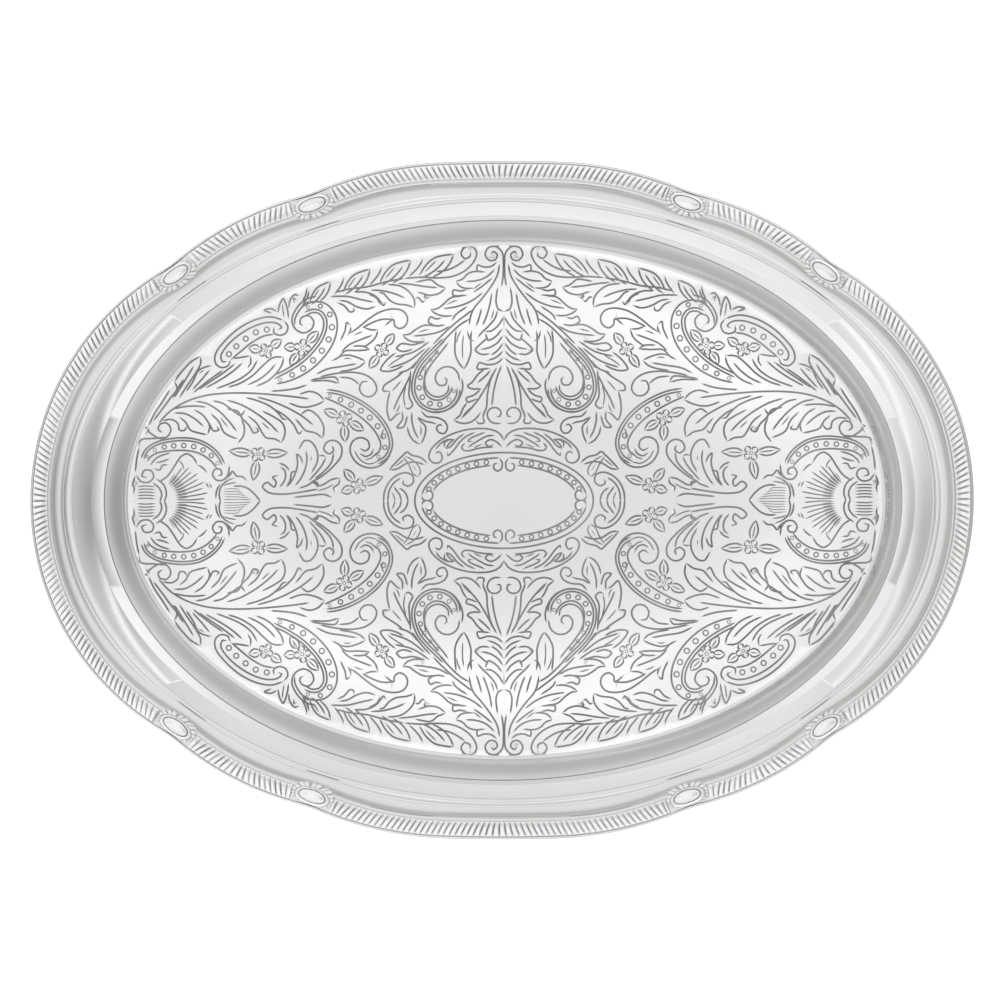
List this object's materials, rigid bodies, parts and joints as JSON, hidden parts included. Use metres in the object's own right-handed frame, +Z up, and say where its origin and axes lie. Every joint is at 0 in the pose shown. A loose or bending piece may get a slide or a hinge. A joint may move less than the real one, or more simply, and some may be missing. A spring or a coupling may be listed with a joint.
{
  "type": "oval serving tray",
  "caption": "Shallow oval metal serving tray with an engraved floor, a stepped rim, and a ridged border whose joints are covered by leaf clasps.",
  "frame": {"origin": "on the underside, at the middle of the flat floor", "axes": "+X along the tray's length, +Y across it, +Z up out of the well"},
  "size_m": [0.481, 0.343, 0.0201],
  "materials": {
    "pan_chrome": "bright chrome plate on pressed steel sheet, with an engraved floor",
    "border_chrome": "bright chrome plate over a ridged moulding",
    "clasp_chrome": "bright chrome plate over a die-struck leaf mount"
  },
  "bodies": {
    "root": {"tray_pan": "pan_chrome", "border_right": "border_chrome", "border_corner_back_right": "border_chrome", "border_back": "border_chrome", "border_corner_back_left": "border_chrome", "border_left": "border_chrome", "border_corner_front_left": "border_chrome", "border_front": "border_chrome", "border_corner_front_right": "border_chrome", "clasp_right_back": "clasp_chrome", "clasp_back_right": "clasp_chrome", "clasp_back_left": "clasp_chrome", "clasp_left_back": "clasp_chrome", "clasp_left_front": "clasp_chrome", "clasp_front_left": "clasp_chrome", "clasp_front_right": "clasp_chrome", "clasp_right_front": "clasp_chrome"}
  },
  "joints": []
}
